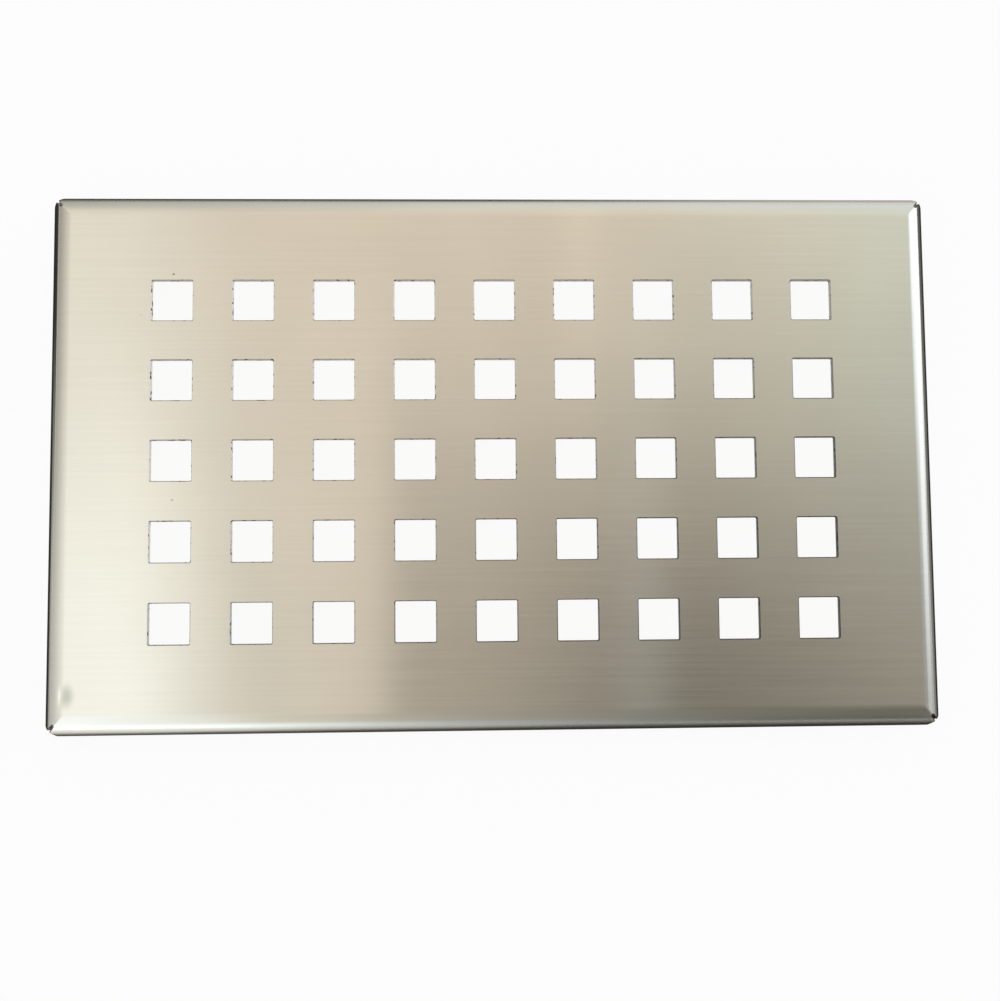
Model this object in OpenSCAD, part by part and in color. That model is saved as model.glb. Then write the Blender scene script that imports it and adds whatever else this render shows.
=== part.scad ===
// Shower drain grate: one stainless sheet with a grid of square holes, folded down along its four edges.
// The origin is the centre of the footprint at the foot of the rim. +X runs along the plate, +Z points up.

/* [Plate] */
// Outside length of the folded plate, along X
plate_length = 221.5; // [160:0.5:400]
// Outside width of the folded plate, along Y
plate_width = 134.5; // [100:0.5:300]
// Thickness of the stainless sheet
sheet_thickness = 1.5; // [0.8:0.1:3]

/* [Folded rim] */
// Height from the foot of the rim to the top face
rim_height = 10; // [8:0.5:30]
// Radius on the inside of each fold
fold_inside_radius = 4; // [0.5:0.1:5]

/* [Holes] */
// Side of each square hole
hole_side = 10; // [5:0.5:15]
// Radius in the corners of each hole
hole_corner_radius = 0.3; // [0.2:0.1:2]
// Distance between the centres of neighbouring holes
hole_pitch = 20; // [16:0.5:40]
// Least plain border between the outer holes and the outside of the plate
hole_border = 20; // [12:1:40]

/* [Corners] */
// How far each corner is cut back along both sides
corner_cut = 2.9; // [1.5:0.1:5]
// Width of the slit that parts two flanges, round at its inner end
slit_width = 0.8; // [0.5:0.1:2]
// How far the slit runs on past the inside corner of the flanges, to the centre of its round end
slit_past = 1.7; // [0:0.1:3]

/* [Hidden] */
$fn = 96;

// How far a cut runs past the face that it opens
cut_overrun = 1;

fold_outside_radius = fold_inside_radius + sheet_thickness;
// From the sharp corner inwards to the centre of the slit's round end
slit_reach = sheet_thickness * sqrt(2) + slit_past;

// How many holes fit along a side of the plate, inside its plain border
function hole_count(side) = floor((side - 2 * hole_border - hole_side) / hole_pitch) + 1;

// Centres of a row of holes, spread evenly about the middle of the plate
function hole_centres(count) = [for (i = [0 : count - 1]) (i - (count - 1) / 2) * hole_pitch];

hole_xs = hole_centres(hole_count(plate_length));
hole_ys = hole_centres(hole_count(plate_width));

// Section of a block with round top shoulders, centred across and standing from foot to top
module shouldered_section(width, foot, top, radius) {
    half = width / 2;
    difference() {
        translate([-half, foot])
            square([width, top - foot]);
        for (flip = [0, 1])
            mirror([flip, 0])
                translate([half - radius, top - radius])
                    difference() {
                        square(radius + cut_overrun);
                        circle(radius);
                    }
    }
}

// Block whose four top edges are round, as folding a sheet over each side leaves them
module folded_block(length, width, foot, top, radius) {
    intersection() {
        rotate([90, 0, 0])
            linear_extrude(width, center = true)
                shouldered_section(length, foot, top, radius);
        rotate([90, 0, 90])
            linear_extrude(length, center = true)
                shouldered_section(width, foot, top, radius);
    }
}

// Sheet folded into a shallow tray that stands open side down
module folded_sheet() {
    difference() {
        folded_block(plate_length, plate_width, 0, rim_height, fold_outside_radius);
        folded_block(
            plate_length - 2 * sheet_thickness,
            plate_width - 2 * sheet_thickness,
            -cut_overrun,
            rim_height - sheet_thickness,
            fold_inside_radius
        );
    }
}

// Outline of one hole: a square with small round corners
module hole_outline() {
    straight = hole_side - 2 * hole_corner_radius;
    square([hole_side, straight], center = true);
    square([straight, hole_side], center = true);
    for (x = [-1, 1], y = [-1, 1])
        translate([x * straight / 2, y * straight / 2])
            circle(hole_corner_radius);
}

// All the holes, cut down through the top of the sheet
module hole_grid() {
    translate([0, 0, rim_height - sheet_thickness - cut_overrun])
        linear_extrude(sheet_thickness + 2 * cut_overrun)
            for (x = hole_xs, y = hole_ys)
                translate([x, y])
                    hole_outline();
}

// Outline of one corner cut: the corner taken off across, and the slit between its two flanges
module notch_outline() {
    polygon([
        [-corner_cut, 0],
        [-corner_cut, cut_overrun],
        [cut_overrun, cut_overrun],
        [cut_overrun, -corner_cut],
        [0, -corner_cut]
    ]);
    rotate(45)
        translate([-slit_reach, 0]) {
            circle(d = slit_width);
            translate([0, -slit_width / 2])
                square([slit_reach, slit_width]);
        }
}

// The four corner cuts, through the whole height of the rim
module corner_notches() {
    translate([0, 0, -cut_overrun])
        linear_extrude(rim_height + 2 * cut_overrun)
            for (flip_x = [0, 1], flip_y = [0, 1])
                mirror([flip_x, 0])
                    mirror([0, flip_y])
                        translate([plate_length / 2, plate_width / 2])
                            notch_outline();
}

module grate() {
    color("#c4bcab")
        difference() {
            folded_sheet();
            hole_grid();
            corner_notches();
        }
}

grate();
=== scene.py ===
"""Shower drain grate: a punched and folded sheet of brushed stainless steel on a pale studio floor."""
import math

import bpy
from mathutils import Euler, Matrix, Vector


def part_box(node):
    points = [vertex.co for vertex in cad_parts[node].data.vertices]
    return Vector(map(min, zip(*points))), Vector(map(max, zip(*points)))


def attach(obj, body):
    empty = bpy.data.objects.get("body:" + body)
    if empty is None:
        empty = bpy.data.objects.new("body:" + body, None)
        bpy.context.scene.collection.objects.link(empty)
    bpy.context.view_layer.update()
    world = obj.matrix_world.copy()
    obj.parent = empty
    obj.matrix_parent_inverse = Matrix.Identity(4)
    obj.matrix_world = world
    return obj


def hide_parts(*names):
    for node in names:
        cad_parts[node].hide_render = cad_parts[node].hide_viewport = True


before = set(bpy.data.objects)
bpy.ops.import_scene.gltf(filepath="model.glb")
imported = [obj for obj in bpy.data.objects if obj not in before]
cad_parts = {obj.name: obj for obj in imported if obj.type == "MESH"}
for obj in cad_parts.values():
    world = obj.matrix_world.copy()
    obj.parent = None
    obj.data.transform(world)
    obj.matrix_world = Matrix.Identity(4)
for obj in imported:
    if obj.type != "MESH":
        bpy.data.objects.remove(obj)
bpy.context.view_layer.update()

MM = 0.001
BODY = "root"
NODE = "grate"

# Sizes of the sheet, in metres
LOW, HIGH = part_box(NODE)
HALF_LENGTH = (HIGH.x - LOW.x) / 2
HALF_WIDTH = (HIGH.y - LOW.y) / 2
TOP = HIGH.z
SHEET = 1.5 * MM
FOLD_RADIUS = 5.5 * MM
FOLD_ARC = FOLD_RADIUS * math.pi / 2
HOLE_SIDE = 10 * MM
HOLE_CORNER = 0.3 * MM
HOLE_PITCH = 20 * MM
HOLE_COLUMNS = 9
HOLE_ROWS = 5
CORNER_CUT = 2.9 * MM
SLIT_RADIUS = 0.4 * MM
SLIT_REACH = SHEET * math.sqrt(2) + 1.7 * MM
EDGE_BREAK = 0.22 * MM
EDGE_BREAK_SEGMENTS = 2
EDGE_BREAK_ANGLE_DEG = 55

# Places of the two materials on the sheet
FACE_SLOT = 0
CUT_SLOT = 1

# A knock on the left fold: its lowest point, and how far it reaches to each side and along the fold
DENT_PLACE = (5.2 * MM - HALF_LENGTH, 10.2 * MM - HALF_WIDTH)
DENT_REACH_OUT = 1.2 * MM
DENT_REACH_IN = 2.6 * MM
DENT_REACH_ALONG = 3.4 * MM
DENT_DEPTH = 0.18 * MM

# How finely the sheet is divided, and how closely points must agree to be one, in decimals of a millimetre
MERGE_DECIMALS = 4
CELL_STEPS = 8
ARC_STEPS = 2
HOLE_RINGS = (0, 0.4 * MM, 1.1 * MM, 2.4 * MM)
BORDER_STEP = 1.0 * MM
FOLD_STEPS = 14
LEG_STEPS = 3
CORNER_REACH = 5.9 * MM
CORNER_RINGS = (0, 0.2, 0.35, 0.5, 0.65, 0.8, 0.9, 1)
SLIT_END_STEPS = 4
SLIT_SIDE_STEPS = 3
CORNER_CUT_STEPS = 8


# The flat blank, and where folding takes each of its points

def fold(distance, half_side):
    """Place across the plate, and drop below the top, of a point that far from the middle of the blank."""
    flat = half_side - FOLD_RADIUS
    bend = abs(distance) - flat
    if bend <= 0:
        return distance, 0.0
    if bend >= FOLD_ARC:
        return math.copysign(half_side, distance), FOLD_RADIUS + bend - FOLD_ARC
    angle = bend / FOLD_RADIUS
    place = flat + FOLD_RADIUS * math.sin(angle)
    return math.copysign(place, distance), FOLD_RADIUS * (1 - math.cos(angle))


def unfold(place, half_side):
    """Distance from the middle of the blank of a point at that place across the plate."""
    flat = half_side - FOLD_RADIUS
    bend = abs(place) - flat
    if bend <= 0:
        return place
    return math.copysign(flat + FOLD_RADIUS * math.asin(bend / FOLD_RADIUS), place)


def spread(start, end, steps):
    """Evenly spaced values from start to end."""
    return [start + (end - start) * i / steps for i in range(steps + 1)]


def fold_lines(half_side):
    """Lines of the blank over the fold, and down the flange to its foot."""
    flat = half_side - FOLD_RADIUS
    shoulder = spread(flat, flat + FOLD_ARC, FOLD_STEPS)
    return shoulder, spread(shoulder[-1], shoulder[-1] + TOP - FOLD_RADIUS, LEG_STEPS)[1:]


def blank_lines(half_side, holes):
    """Grid lines of the blank along one axis: over the holes, the border, the fold and the flange."""
    cells = holes * HOLE_PITCH / 2
    corner = half_side - CORNER_REACH
    border = spread(cells, corner, round((corner - cells) / BORDER_STEP))
    shoulder, leg = fold_lines(half_side)
    outer = border[1:] + shoulder + leg
    inner = spread(-cells, cells, holes * CELL_STEPS)
    return [-value for value in reversed(outer)] + inner + outer


class Blank:
    """Vertices and faces of the sheet's top skin, addressed by their place on the flat blank."""

    def __init__(self):
        self.index = {}
        self.places = []
        self.faces = []

    def vertex(self, s, t):
        key = (round(s / MM, MERGE_DECIMALS), round(t / MM, MERGE_DECIMALS))
        if key not in self.index:
            self.index[key] = len(self.places)
            self.places.append((s, t))
        return self.index[key]

    def face(self, corners, flip=False):
        indices = [self.vertex(s, t) for s, t in corners]
        self.faces.append(indices[::-1] if flip else indices)

    def band(self, outer, inner, closed, flip=False):
        """Faces between two lines of points that run side by side."""
        count = len(outer)
        for i in range(count if closed else count - 1):
            j = (i + 1) % count
            self.face((outer[i], outer[j], inner[j], inner[i]), flip)


def turned(point, quarter_turns):
    """A point turned about the origin by whole quarter turns."""
    x, y = point
    for _ in range(quarter_turns):
        x, y = -y, x
    return x, y


def hole_ring(offset):
    """Points round a hole, that far outside its edge, starting at the middle of its first corner."""
    straight = HOLE_SIDE / 2 - HOLE_CORNER
    radius = HOLE_CORNER + offset
    side = []
    for i in range(ARC_STEPS):
        angle = math.radians(225 + 45 * i / ARC_STEPS)
        side.append((-straight + radius * math.cos(angle), -straight + radius * math.sin(angle)))
    for x in spread(-straight, straight, CELL_STEPS - 2 * ARC_STEPS):
        side.append((x, -straight - radius))
    for i in range(1, ARC_STEPS):
        angle = math.radians(270 + 45 * i / ARC_STEPS)
        side.append((straight + radius * math.cos(angle), -straight + radius * math.sin(angle)))
    return [turned(point, quarter) for quarter in range(4) for point in side]


def cell_ring():
    """Points round the square cell of one hole, in step with the rings of the hole."""
    half = HOLE_PITCH / 2
    side = [(x, -half) for x in spread(-half, half, CELL_STEPS)[:-1]]
    return [turned(point, quarter) for quarter in range(4) for point in side]


def hole_centres(count):
    return [(i - (count - 1) / 2) * HOLE_PITCH for i in range(count)]


def add_holes(blank):
    rings = [cell_ring()] + [hole_ring(offset) for offset in reversed(HOLE_RINGS)]
    for x in hole_centres(HOLE_COLUMNS):
        for y in hole_centres(HOLE_ROWS):
            placed = [[(x + dx, y + dy) for dx, dy in ring] for ring in rings]
            for outer, inner in zip(placed, placed[1:]):
                blank.band(outer, inner, closed=True)


def unfold_inset(inset):
    """Place on the blank, from the sharp edge outwards, of a point that far inside the edge."""
    return unfold(HALF_LENGTH - inset, HALF_LENGTH) - HALF_LENGTH


def corner_edge():
    """Edge of a corner on the blank, from the inner end of the slit to the foot of one flange.

    Places are measured from the sharp corner: first across the flange, then along it.
    """
    cut_depth = CORNER_CUT / math.sqrt(2)
    slit = []
    for angle in spread(0, math.pi / 2, SLIT_END_STEPS):
        slit.append((SLIT_REACH + SLIT_RADIUS * math.cos(angle), SLIT_RADIUS * math.sin(angle)))
    slit += [(inward, SLIT_RADIUS) for inward in spread(SLIT_REACH, cut_depth, SLIT_SIDE_STEPS)[1:]]
    edge = []
    for inward, sideways in slit:
        edge.append((unfold_inset((inward - sideways) / math.sqrt(2)),
                     unfold_inset((inward + sideways) / math.sqrt(2))))
    for across in spread(edge[-1][0], FOLD_ARC - FOLD_RADIUS, CORNER_CUT_STEPS)[1:]:
        inset = -fold(across + HALF_LENGTH, HALF_LENGTH)[0] + HALF_LENGTH
        edge.append((across, unfold_inset(CORNER_CUT - inset)))
    return edge


def corner_ring(share):
    """A line round a corner, foot to foot: its cut edge at share 0, and the plain grid beside it at 1."""
    shoulder, leg = fold_lines(0)
    grid = [(across, -CORNER_REACH) for across in [-CORNER_REACH] + shoulder]
    half = []
    for cut_place, grid_place in zip(corner_edge(), grid):
        half.append([a + (b - a) * share for a, b in zip(cut_place, grid_place)])
    half += [[across, half[-1][1]] for across in leg]
    return [(along, across) for across, along in reversed(half)] + [tuple(place) for place in half[1:]]


def add_corner(blank, side_x, side_y):
    """One corner, where two flanges end at a slit."""
    rings = []
    for share in reversed(CORNER_RINGS):
        rings.append([
            (side_x * (HALF_LENGTH + s), side_y * (HALF_WIDTH + t)) for s, t in corner_ring(share)
        ])
    for outer, inner in zip(rings, rings[1:]):
        blank.band(outer, inner, closed=False, flip=side_x != side_y)


def add_border(blank):
    """The plain border, the folds and the flanges, apart from the corners."""
    lines_s = blank_lines(HALF_LENGTH, HOLE_COLUMNS)
    lines_t = blank_lines(HALF_WIDTH, HOLE_ROWS)
    cells_s, cells_t = HOLE_COLUMNS * HOLE_PITCH / 2, HOLE_ROWS * HOLE_PITCH / 2
    corner_s, corner_t = HALF_LENGTH - CORNER_REACH, HALF_WIDTH - CORNER_REACH
    for s0, s1 in zip(lines_s, lines_s[1:]):
        for t0, t1 in zip(lines_t, lines_t[1:]):
            s, t = abs(s0 + s1) / 2, abs(t0 + t1) / 2
            in_cells = s < cells_s and t < cells_t
            in_corner = s > corner_s and t > corner_t
            if not (in_cells or in_corner):
                blank.face(((s0, t0), (s1, t0), (s1, t1), (s0, t1)))


def dent_depth(s, t):
    """Depth of the knock on the left fold at a place on the blank."""
    inward = s - DENT_PLACE[0]
    inward /= DENT_REACH_IN if inward > 0 else DENT_REACH_OUT
    reach = math.hypot(inward, (t - DENT_PLACE[1]) / DENT_REACH_ALONG)
    return DENT_DEPTH * math.cos(math.pi / 2 * min(reach, 1)) ** 2


def folded_point(s, t):
    x, drop_x = fold(s, HALF_LENGTH)
    y, drop_y = fold(t, HALF_WIDTH)
    return x, y, TOP - max(drop_x, drop_y) - dent_depth(s, t)


def make_sheet():
    blank = Blank()
    add_holes(blank)
    add_border(blank)
    for side_x in (-1, 1):
        for side_y in (-1, 1):
            add_corner(blank, side_x, side_y)
    mesh = bpy.data.meshes.new("folded_sheet")
    mesh.from_pydata([folded_point(s, t) for s, t in blank.places], [], blank.faces)
    uv = mesh.uv_layers.new(name="blank")
    for loop in mesh.loops:
        uv.data[loop.index].uv = blank.places[loop.vertex_index]
    mesh.polygons.foreach_set("use_smooth", [True] * len(mesh.polygons))
    mesh.validate()
    sheet = bpy.data.objects.new("folded_sheet", mesh)
    bpy.context.scene.collection.objects.link(sheet)
    return sheet


def thicken(sheet):
    """Give the skin its thickness, and break the sharp edges that cutting leaves."""
    solid = sheet.modifiers.new("thickness", "SOLIDIFY")
    solid.thickness = SHEET
    solid.offset = -1
    solid.use_even_offset = True
    solid.material_offset_rim = CUT_SLOT - FACE_SLOT
    broken = sheet.modifiers.new("broken_edges", "BEVEL")
    broken.width = EDGE_BREAK
    broken.segments = EDGE_BREAK_SEGMENTS
    broken.use_clamp_overlap = False
    broken.limit_method = "ANGLE"
    broken.angle_limit = math.radians(EDGE_BREAK_ANGLE_DEG)
    broken.harden_normals = True
    broken.material = CUT_SLOT


# Materials

STEEL_COLOUR = (0.73, 0.685, 0.593)
STEEL_ROUGHNESS = 0.165
BRUSH_TURN = 0.25
# Noise laid over the steel: its length, width and detail, and what it does to the shade and the roughness
GRAIN = (30 * MM, 0.12 * MM, 2)
GRAIN_ROUGHNESS = (-0.015, 0.015)
GRAIN_BUMP = 0.12
GRAIN_HEIGHT = 0.01 * MM
STREAK = (60 * MM, 0.8 * MM, 3)
STREAK_SHADE = (0.985, 1.015)
STREAK_ROUGHNESS = (STEEL_ROUGHNESS - 0.005, STEEL_ROUGHNESS + 0.005)
CLOUD = (40 * MM, 40 * MM, 2)
CLOUD_SHADE = (0.975, 1.025)
# The middle part of a noise, which is spread over the whole range
NOISE_LOW, NOISE_HIGH = 0.25, 0.75

CUT_METALLIC = 0.8
CUT_ROUGHNESS = 0.5
# How far a cut wall's normal must lean to count as running along the plate, as diagonal, or as a broken rim
CUT_ALONG_LEAN = (-0.1, 0.1)
CORNER_LEAN = (0.3, 0.1)
RIM_LEAN = (0.1, 0.3)
# Painted reflection and shade of the cut walls by the way they face: darker along the plate, lighter across
# it, near black where diagonal as in the corner slits; the broken rim of walls along the plate has its own
# colour
CUT_ALONG_PAINTED_SHADE = (0.6, 0.57, 0.51)
CUT_ACROSS_PAINTED_LIGHT = (0.8, 0.765, 0.7)
CORNER_PAINTED_SHADE = (0.09, 0.083, 0.075)
RIM_COLOUR = (0.42, 0.395, 0.35)
# Painted shade over the cut walls towards the right front of the plate
RIGHT_FRONT_PAINTED_SHADE = (0.09, 0.083, 0.075)
PAINTED_SHADE_FROM, PAINTED_SHADE_TO = -0.7, 1.05
SCORCH_COLOUR = (0.02, 0.018, 0.015)
SCORCH_SIZE = 0.9 * MM
SCORCH_DETAIL = 2
SCORCH_NOISE = (0.57, 0.63)

# Marks on the brushed face, painted shade and a painted highlight beside the knock and specks of dirt: where
# they lie on the blank, how far they reach along and across it, and how bright they leave the steel
MARKS_AND_PAINTED_LIGHT = (
    # Painted shade and a painted highlight beside the knock, where its slopes would shade and catch the light
    ((6.4 * MM - HALF_LENGTH, 10.2 * MM - HALF_WIDTH), (2.6 * MM, 3.9 * MM), 0.78),
    ((4.6 * MM - HALF_LENGTH, 10.2 * MM - HALF_WIDTH), (0.5 * MM, 3.4 * MM), 1.25),
    # Specks of dirt
    ((-79.7 * MM, 46.6 * MM), (0.4 * MM, 0.4 * MM), 0.2),
    ((-87.6 * MM, 36.3 * MM), (0.4 * MM, 0.35 * MM), 0.85),
    ((-79.5 * MM, -9.7 * MM), (0.4 * MM, 0.35 * MM), 0.5),
)
MARK_SOLID = 0.1


def new_material(name):
    material = bpy.data.materials.new(name)
    material.use_nodes = True
    nodes = material.node_tree.nodes
    return material, nodes, material.node_tree.links, nodes["Principled BSDF"]


def blank_noise(nodes, links, length, width, detail):
    """Noise laid out on the flat blank, drawn out along the plate's length."""
    place = nodes.new("ShaderNodeUVMap")
    place.uv_map = "blank"
    stretch = nodes.new("ShaderNodeVectorMath")
    stretch.operation = "MULTIPLY"
    stretch.inputs[1].default_value = (1 / length, 1 / width, 1)
    links.new(place.outputs["UV"], stretch.inputs[0])
    noise = nodes.new("ShaderNodeTexNoise")
    noise.noise_dimensions = "2D"
    noise.inputs["Scale"].default_value = 1
    noise.inputs["Detail"].default_value = detail
    links.new(stretch.outputs["Vector"], noise.inputs["Vector"])
    return noise.outputs["Fac"]


def between(nodes, links, value, low, high, start=NOISE_LOW, end=NOISE_HIGH):
    """Map a value from start..end onto low..high."""
    mapped = nodes.new("ShaderNodeMapRange")
    mapped.inputs["From Min"].default_value = start
    mapped.inputs["From Max"].default_value = end
    mapped.inputs["To Min"].default_value = low
    mapped.inputs["To Max"].default_value = high
    links.new(value, mapped.inputs["Value"])
    return mapped.outputs["Result"]


def calculate(nodes, links, operation, first, second):
    """A math node of two inputs, each a socket or a number."""
    node = nodes.new("ShaderNodeMath")
    node.operation = operation
    for slot, value in zip(node.inputs, (first, second)):
        if isinstance(value, (int, float)):
            slot.default_value = value
        else:
            links.new(value, slot)
    return node.outputs["Value"]


def smooth_share(nodes, links, value, start, end):
    """0 before start, 1 after end, and smooth between them."""
    share = nodes.new("ShaderNodeMapRange")
    share.interpolation_type = "SMOOTHSTEP"
    share.inputs["From Min"].default_value = start
    share.inputs["From Max"].default_value = end
    links.new(value, share.inputs["Value"])
    return share.outputs["Result"]


def mixed(nodes, links, share, first, second):
    """The first colour at share 0 and the second at 1, each a socket or a tuple."""
    mix = nodes.new("ShaderNodeMix")
    mix.data_type = "RGBA"
    links.new(share, mix.inputs["Factor"])
    for slot, value in zip((mix.inputs["A"], mix.inputs["B"]), (first, second)):
        if isinstance(value, tuple):
            slot.default_value = (*value, 1)
        else:
            links.new(value, slot)
    return mix.outputs["Result"]


def mark_share(nodes, links, middle, reach):
    """1 in the middle of a mark on the blank, and 0 outside it."""
    place = nodes.new("ShaderNodeUVMap")
    place.uv_map = "blank"
    value = place.outputs["UV"]
    for operation, operand in (("SUBTRACT", (*middle, 0)), ("DIVIDE", (*reach, 1))):
        step = nodes.new("ShaderNodeVectorMath")
        step.operation = operation
        step.inputs[1].default_value = operand
        links.new(value, step.inputs[0])
        value = step.outputs["Vector"]
    length = nodes.new("ShaderNodeVectorMath")
    length.operation = "LENGTH"
    links.new(value, length.inputs[0])
    return smooth_share(nodes, links, length.outputs["Value"], 1, MARK_SOLID)


def brushed_stainless():
    material, nodes, links, shader = new_material("brushed_stainless")
    shader.inputs["Metallic"].default_value = 1.0
    shader.inputs["Anisotropic"].default_value = 1.0
    shader.inputs["Anisotropic Rotation"].default_value = BRUSH_TURN
    tangent = nodes.new("ShaderNodeTangent")
    tangent.direction_type = "UV_MAP"
    tangent.uv_map = "blank"
    links.new(tangent.outputs["Tangent"], shader.inputs["Tangent"])

    grain = blank_noise(nodes, links, *GRAIN)
    streak = blank_noise(nodes, links, *STREAK)
    cloud = blank_noise(nodes, links, *CLOUD)

    shade = calculate(
        nodes, links, "MULTIPLY",
        between(nodes, links, streak, *STREAK_SHADE),
        between(nodes, links, cloud, *CLOUD_SHADE),
    )
    # Painted shade and highlight at the knock, and specks of dirt
    for middle, reach, left_bright in MARKS_AND_PAINTED_LIGHT:
        mark = mark_share(nodes, links, middle, reach)
        shade = calculate(nodes, links, "MULTIPLY", shade, between(nodes, links, mark, 1, left_bright, 0, 1))
    colour = nodes.new("ShaderNodeVectorMath")
    colour.operation = "SCALE"
    colour.inputs[0].default_value = STEEL_COLOUR
    links.new(shade, colour.inputs["Scale"])
    links.new(colour.outputs["Vector"], shader.inputs["Base Color"])
    rough = calculate(
        nodes, links, "ADD",
        between(nodes, links, streak, *STREAK_ROUGHNESS),
        between(nodes, links, grain, *GRAIN_ROUGHNESS),
    )
    links.new(rough, shader.inputs["Roughness"])
    bump = nodes.new("ShaderNodeBump")
    bump.inputs["Strength"].default_value = GRAIN_BUMP
    bump.inputs["Distance"].default_value = GRAIN_HEIGHT
    links.new(grain, bump.inputs["Height"])
    links.new(bump.outputs["Normal"], shader.inputs["Normal"])
    return material


def cut_edge():
    """Cut walls: painted shade and light by the way they face, darker where they run along the plate with the
    brushing and near black on diagonal corners, painted shade towards the right front, scorched in spots.
    """
    material, nodes, links, shader = new_material("cut_edge")
    shader.inputs["Metallic"].default_value = CUT_METALLIC
    shader.inputs["Roughness"].default_value = CUT_ROUGHNESS
    facing = nodes.new("ShaderNodeSeparateXYZ")
    links.new(nodes.new("ShaderNodeNewGeometry").outputs["True Normal"], facing.inputs["Vector"])
    sizes = [calculate(nodes, links, "ABSOLUTE", facing.outputs[axis], 0) for axis in ("Y", "X")]
    lean = calculate(nodes, links, "SUBTRACT", *sizes)
    along = smooth_share(nodes, links, lean, *CUT_ALONG_LEAN)
    diagonal = smooth_share(nodes, links, calculate(nodes, links, "ABSOLUTE", lean, 0), *CORNER_LEAN)
    rim = smooth_share(nodes, links, facing.outputs["Z"], *RIM_LEAN)
    # Painted shade and light by the way each wall faces
    along_colour = mixed(nodes, links, rim, CUT_ALONG_PAINTED_SHADE, RIM_COLOUR)
    colour = mixed(nodes, links, along, CUT_ACROSS_PAINTED_LIGHT, along_colour)
    colour = mixed(nodes, links, diagonal, colour, CORNER_PAINTED_SHADE)
    place = nodes.new("ShaderNodeTexCoord").outputs["Object"]
    # Painted shade towards the right front
    right_front = nodes.new("ShaderNodeVectorMath")
    right_front.operation = "DOT_PRODUCT"
    right_front.inputs[1].default_value = (1 / HALF_LENGTH, -1 / HALF_WIDTH, 0)
    links.new(place, right_front.inputs[0])
    right_front_shade = smooth_share(nodes, links, right_front.outputs["Value"], PAINTED_SHADE_FROM, PAINTED_SHADE_TO)
    colour = mixed(nodes, links, right_front_shade, colour, RIGHT_FRONT_PAINTED_SHADE)
    noise = nodes.new("ShaderNodeTexNoise")
    noise.inputs["Scale"].default_value = 1 / SCORCH_SIZE
    noise.inputs["Detail"].default_value = SCORCH_DETAIL
    links.new(place, noise.inputs["Vector"])
    scorched = smooth_share(nodes, links, noise.outputs["Fac"], *SCORCH_NOISE)
    colour = mixed(nodes, links, scorched, colour, SCORCH_COLOUR)
    links.new(colour, shader.inputs["Base Color"])
    return material


# Studio

FLOOR_HALF = 20.0
FLOOR_COLOUR = (0.9, 0.9, 0.9, 1)
FLOOR_GLOW = 0.92
WHITE = (1, 1, 1, 1)
MATT = 0.9


def flat_sheet(name, half_x, half_y, height):
    mesh = bpy.data.meshes.new(name)
    corners = [(x * half_x, y * half_y, height) for x, y in ((-1, -1), (1, -1), (1, 1), (-1, 1))]
    mesh.from_pydata(corners, [], [(0, 1, 2, 3)])
    sheet = bpy.data.objects.new(name, mesh)
    bpy.context.scene.collection.objects.link(sheet)
    return sheet


def make_floor():
    floor = flat_sheet("floor", FLOOR_HALF, FLOOR_HALF, 0)
    material, nodes, links, shader = new_material("pale_floor")
    shader.inputs["Base Color"].default_value = FLOOR_COLOUR
    shader.inputs["Roughness"].default_value = MATT
    shader.inputs["Specular IOR Level"].default_value = 0
    glow = nodes.new("ShaderNodeEmission")
    glow.inputs["Color"].default_value = WHITE
    path = nodes.new("ShaderNodeLightPath").outputs
    seen = calculate(nodes, links, "MAXIMUM", path["Is Camera Ray"], path["Is Glossy Ray"])
    seen = calculate(nodes, links, "MAXIMUM", seen, path["Is Transmission Ray"])
    share = calculate(nodes, links, "MULTIPLY", seen, FLOOR_GLOW)
    mix = nodes.new("ShaderNodeMixShader")
    links.new(share, mix.inputs["Fac"])
    links.new(shader.outputs[0], mix.inputs[1])
    links.new(glow.outputs[0], mix.inputs[2])
    links.new(mix.outputs[0], nodes["Material Output"].inputs["Surface"])
    floor.data.materials.append(material)


# A dark card on the floor round the rim, which only reflections show: painted shade that the metal reflects
# in place of the floor. Near the rim it draws the dark line of the outer folds, which is paler at the back
# right. Further out it paints shade on the floor of each side, for reflections only.
CARD_REACH = 500 * MM
# Where the dark line ends and where it is full, as shares of how far it reaches
CARD_NEAR_END = (1, 0.2)
CARD_FAR_END = (CARD_REACH, 100 * MM)
CARD_BACK_OPENS = (-20 * MM, 100 * MM)
CARD_BACK_SHADE = 0.5
CARD_BLEND = 6 * MM
# Each side's axis and direction, the back last, and two places along it, each with the shade of the far floor
# and how far out from the rim the dark line reaches
CARD_SIDES = (
    ("X", -1, (-20 * MM, 0.5, 48 * MM), (40 * MM, 1.0, 48 * MM)),
    ("X", 1, (-HALF_WIDTH, 0.72, 48 * MM), (HALF_WIDTH, 0.9, 48 * MM)),
    ("Y", -1, (-90 * MM, 0.0, 24 * MM), (30 * MM, 0.8, 55 * MM)),
    ("Y", 1, (-140 * MM, 0.6, 48 * MM), (40 * MM, 0.0, 48 * MM)),
)
CARD_LIFT = 0.05 * MM
CARD_COLOUR = (0.02, 0.02, 0.02, 1)


def flat_frame(name, half_x, half_y, reach, height):
    """A flat frame that starts at the given half sizes and reaches that far out from them."""
    mesh = bpy.data.meshes.new(name)
    corners = []
    for out in (0, reach):
        for x, y in ((-1, -1), (1, -1), (1, 1), (-1, 1)):
            corners.append((x * (half_x + out), y * (half_y + out), height))
    mesh.from_pydata(corners, [], [(i, i + 4, (i + 1) % 4 + 4, (i + 1) % 4) for i in range(4)])
    sheet = bpy.data.objects.new(name, mesh)
    bpy.context.scene.collection.objects.link(sheet)
    return sheet


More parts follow.
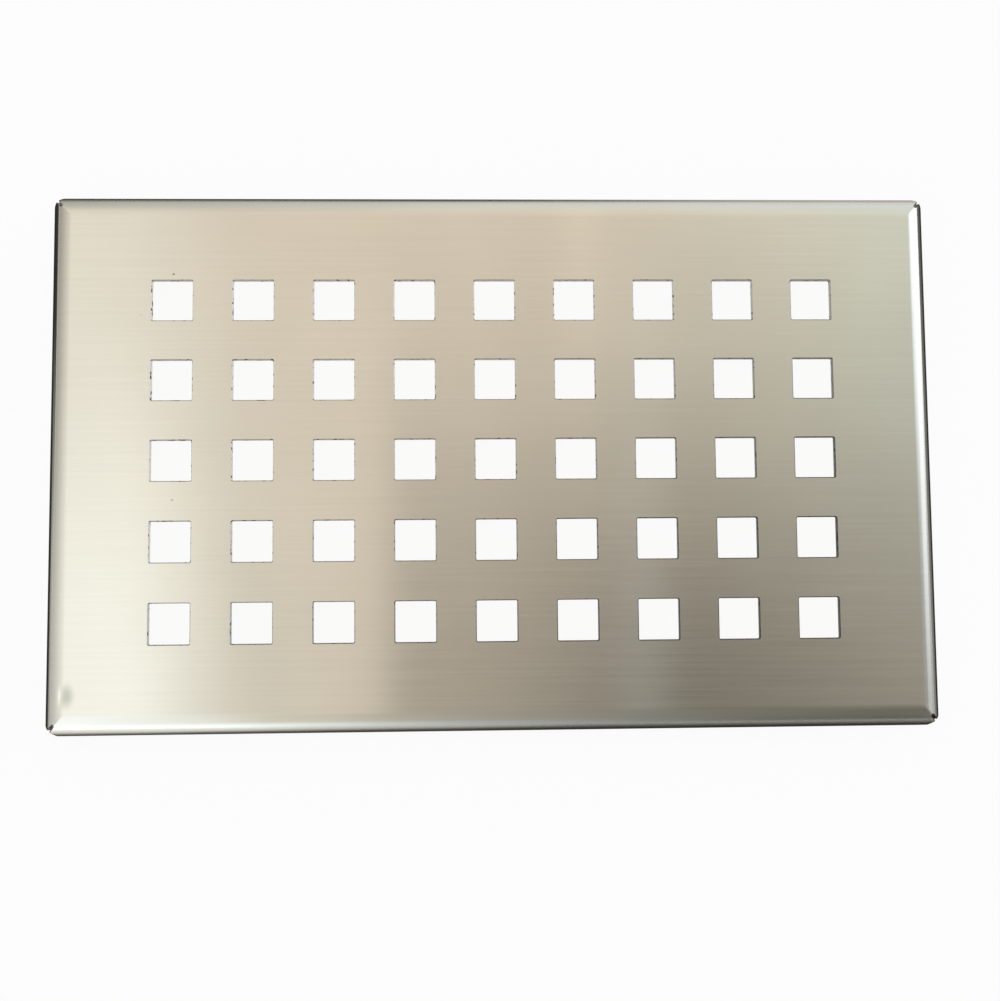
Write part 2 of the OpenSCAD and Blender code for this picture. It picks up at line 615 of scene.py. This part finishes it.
def card_shade(nodes, links):
    """How much painted shade the card puts at each place round the rim."""
    place = nodes.new("ShaderNodeSeparateXYZ")
    links.new(nodes.new("ShaderNodeTexCoord").outputs["Object"], place.inputs["Vector"])
    x, y = place.outputs["X"], place.outputs["Y"]
    outside = []
    for value, half in ((x, HALF_LENGTH), (y, HALF_WIDTH)):
        size = calculate(nodes, links, "ABSOLUTE", value, 0)
        outside.append(calculate(nodes, links, "SUBTRACT", size, half))
    away = calculate(nodes, links, "MAXIMUM", *outside)
    sideways = calculate(nodes, links, "SUBTRACT", *outside)

    far, near = 0, 0
    for axis, way, (start, start_shade, start_reach), (end, end_shade, end_reach) in CARD_SIDES:
        across, along, turn = (x, y, 1) if axis == "X" else (y, x, -1)
        on_side = calculate(
            nodes, links, "MULTIPLY",
            smooth_share(nodes, links, sideways, -turn * CARD_BLEND, turn * CARD_BLEND),
            smooth_share(nodes, links, across, 0, way * CARD_BLEND),
        )
        shade = between(nodes, links, along, start_shade, end_shade, start, end)
        far = calculate(nodes, links, "ADD", far, calculate(nodes, links, "MULTIPLY", on_side, shade))
        reach = between(nodes, links, along, start_reach, end_reach, start, end)
        near = calculate(nodes, links, "ADD", near, calculate(nodes, links, "MULTIPLY", on_side, reach))
    # The last side is the back
    opened = calculate(nodes, links, "MULTIPLY", on_side, smooth_share(nodes, links, x, *CARD_BACK_OPENS))

    far = calculate(nodes, links, "MULTIPLY", far, smooth_share(nodes, links, away, *CARD_FAR_END))
    close = smooth_share(nodes, links, calculate(nodes, links, "DIVIDE", away, near), *CARD_NEAR_END)
    shade = calculate(nodes, links, "MAXIMUM", far, close)
    paler = between(nodes, links, opened, 1, CARD_BACK_SHADE, 0, 1)
    return calculate(nodes, links, "MULTIPLY", shade, paler)


# Painted shade: a dark card that only glossy rays see, in place of shade on the floor beside the rim
def make_painted_shade_card():
    card = flat_frame("painted_shade_card", HALF_LENGTH, HALF_WIDTH, CARD_REACH, CARD_LIFT)
    material, nodes, links, shader = new_material("painted_shade_card")
    shader.inputs["Base Color"].default_value = CARD_COLOUR
    shader.inputs["Roughness"].default_value = MATT
    mix = nodes.new("ShaderNodeMixShader")
    links.new(card_shade(nodes, links), mix.inputs["Fac"])
    links.new(nodes.new("ShaderNodeBsdfTransparent").outputs[0], mix.inputs[1])
    links.new(shader.outputs[0], mix.inputs[2])
    links.new(mix.outputs[0], nodes["Material Output"].inputs["Surface"])
    card.data.materials.append(material)
    card.visible_camera = False
    card.visible_diffuse = False
    card.visible_transmission = False
    card.visible_shadow = False


# The studio's walls and ceiling, in six rows from the low front (-1) to the low back (1): where each row
# begins and ends, and how bright its strips are, from left to right (-1 to 1)
CREAM = (1.0, 0.985, 0.93)
WARM = (1.0, 0.93, 0.84)
OLIVE = (0.98, 0.985, 0.9)
PALE = (0.94, 0.99, 1.0)
BLUE = (0.82, 0.9, 1.0)
SKY = (0.76, 0.88, 1.0)
SAGE = (0.92, 1.0, 0.96)
LOW_FRONT = (
    (-1.0, 0.7, PALE), (-0.45, 0.8, PALE), (-0.33, 1.6, BLUE), (-0.3, 1.6, BLUE), (-0.2, 1.13, PALE),
    (-0.16, 0.84, CREAM), (-0.1, 0.77, CREAM), (-0.04, 0.54, CREAM), (0.08, 0.38, CREAM), (0.2, 0.26, CREAM),
)
STUDIO = (
    (-1.0, -0.98, (
        (-1.0, 0.7, PALE), (-0.45, 0.8, PALE), (-0.33, 2.4, BLUE), (-0.2, 2.15, SKY),
        (-0.1, 1.36, SKY), (0.0, 0.74, SKY), (0.12, 0.46, SKY), (0.24, 0.2, BLUE),
        (0.35, 0.1, PALE), (0.5, 0.3, PALE), (1.0, 0.5, PALE),
    )),
    (-0.8, -0.65, LOW_FRONT + ((0.35, 0.18, CREAM), (0.55, 0.7, CREAM), (1.0, 0.8, PALE))),
    (-0.45, -0.35, LOW_FRONT + ((0.35, 0.18, CREAM), (0.8, 0.3, WARM), (1.0, 0.45, PALE))),
    (-0.1, -0.05, (
        (-1.0, 0.68, PALE), (-0.945, 0.8, PALE), (-0.78, 0.97, PALE), (-0.64, 1.12, PALE),
        (-0.48, 1.23, PALE), (-0.32, 1.31, PALE), (-0.26, 1.46, PALE), (-0.18, 0.84, CREAM),
        (-0.07, 0.85, WARM), (-0.05, 0.43, WARM), (0.03, 0.395, WARM), (0.12, 0.21, WARM), (0.14, 0.33, PALE),
        (0.16, 0.31, PALE), (0.18, 0.13, WARM), (0.36, 0.335, WARM), (0.8, 0.3, PALE), (1.0, 0.5, BLUE),
    )),
    (0.27, 0.55, (
        (-1.0, 0.34, CREAM), (-0.93, 0.47, CREAM), (-0.69, 0.66, CREAM), (-0.45, 0.81, CREAM),
        (-0.3, 1.0, CREAM), (-0.17, 0.89, WARM), (-0.06, 0.95, WARM), (0.08, 0.97, WARM),
        (0.09, 1.07, WARM), (0.11, 1.07, WARM), (0.12, 0.95, WARM), (0.26, 0.96, OLIVE), (0.38, 0.97, SAGE),
        (0.9, 0.9, BLUE), (1.0, 0.5, BLUE),
    )),
    (0.97, 1.0, (
        (-1.0, 0.45, PALE), (-0.3, 0.62, PALE), (-0.1, 0.8, PALE), (0.05, 0.96, PALE), (0.25, 1.05, BLUE),
        (0.4, 1.15, SKY), (1.0, 1.1, SKY),
    )),
)
HORIZON = (0.6, 0.6, 0.6)
HORIZON_HEIGHT = (0.02, 0.08)

# A window on the right: wider and lower towards the back, it fades at its front, its back and its sill
WINDOW_COLOUR = (1.55, 1.72, 1.95)
WINDOW_EDGE = (0.72, 0.84)
WINDOW_WIDENS = 0.26
WINDOW_LOWERS = 0.28
WINDOW_WIDENS_AT = (0.05, 0.19)
WINDOW_FRONT = (-0.14, 0.12)
WINDOW_BACK = (0.55, 0.4)
WINDOW_SILL = (0.08, 0.32)


def strip_row(nodes, links, across, strips):
    """One row of the studio as a colour ramp from left to right."""
    ramp = nodes.new("ShaderNodeValToRGB")
    elements = ramp.color_ramp.elements
    while len(elements) < len(strips):
        elements.new(0.5)
    for element, (place, bright, tint) in zip(elements, strips):
        element.position = (place + 1) / 2
        element.color = [bright * channel for channel in tint] + [1]
    links.new(across, ramp.inputs["Fac"])
    return ramp.outputs["Color"]


def window_share(nodes, links, direction):
    """How far a direction looks into the window on the right."""
    back = smooth_share(nodes, links, direction["Y"], *WINDOW_WIDENS_AT)
    wider = calculate(nodes, links, "MULTIPLY", back, WINDOW_WIDENS)
    lower = calculate(nodes, links, "MULTIPLY", back, WINDOW_LOWERS)
    across = calculate(nodes, links, "ADD", direction["X"], wider)
    height = calculate(nodes, links, "ADD", direction["Z"], lower)
    share = smooth_share(nodes, links, across, *WINDOW_EDGE)
    fades = (direction["Y"], WINDOW_FRONT), (direction["Y"], WINDOW_BACK), (height, WINDOW_SILL)
    for value, fade in fades:
        share = calculate(nodes, links, "MULTIPLY", share, smooth_share(nodes, links, value, *fade))
    return share


def make_world():
    world = bpy.data.worlds.new("studio")
    world.use_nodes = True
    nodes, links = world.node_tree.nodes, world.node_tree.links
    direction = nodes.new("ShaderNodeTexCoord").outputs["Generated"]
    split = nodes.new("ShaderNodeSeparateXYZ")
    links.new(direction, split.inputs["Vector"])
    across = between(nodes, links, split.outputs["X"], 0, 1, -1, 1)
    colour = strip_row(nodes, links, across, STUDIO[0][2])
    for (_, front_end, _), (back_start, _, strips) in zip(STUDIO, STUDIO[1:]):
        share = smooth_share(nodes, links, split.outputs["Y"], front_end, back_start)
        colour = mixed(nodes, links, share, colour, strip_row(nodes, links, across, strips))
    above = smooth_share(nodes, links, split.outputs["Z"], *HORIZON_HEIGHT)
    colour = mixed(nodes, links, above, HORIZON, colour)
    colour = mixed(nodes, links, window_share(nodes, links, split.outputs), colour, WINDOW_COLOUR)
    links.new(colour, nodes["Background"].inputs["Color"])
    bpy.context.scene.world = world


# Camera, fitted to the hole grid and the outline in the photograph's frame of 1000 by 1001 pixels
FRAME_LONG_SIDE = 1001
FOCAL_PIXELS = 1200
SENSOR_MM = 36
CLIP_START = 10 * MM
CAMERA_PLACE = Vector((-9.24, -31.89, 306.04)) * MM
CAMERA_TURN_DEG = (4.174, -1.935, -0.526)


def make_camera():
    data = bpy.data.cameras.new("camera")
    data.sensor_width = SENSOR_MM
    data.lens = SENSOR_MM * FOCAL_PIXELS / FRAME_LONG_SIDE
    data.clip_start = CLIP_START
    camera = bpy.data.objects.new("camera", data)
    camera.location = CAMERA_PLACE
    camera.rotation_euler = Euler([math.radians(angle) for angle in CAMERA_TURN_DEG], "XYZ")
    bpy.context.scene.collection.objects.link(camera)
    bpy.context.scene.camera = camera


def main():
    bpy.context.scene.view_settings.view_transform = "Standard"
    sheet = make_sheet()
    sheet.data.materials.append(brushed_stainless())
    sheet.data.materials.append(cut_edge())
    thicken(sheet)
    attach(sheet, BODY)
    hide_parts(NODE)
    make_floor()
    make_painted_shade_card()
    make_world()
    make_camera()


main()
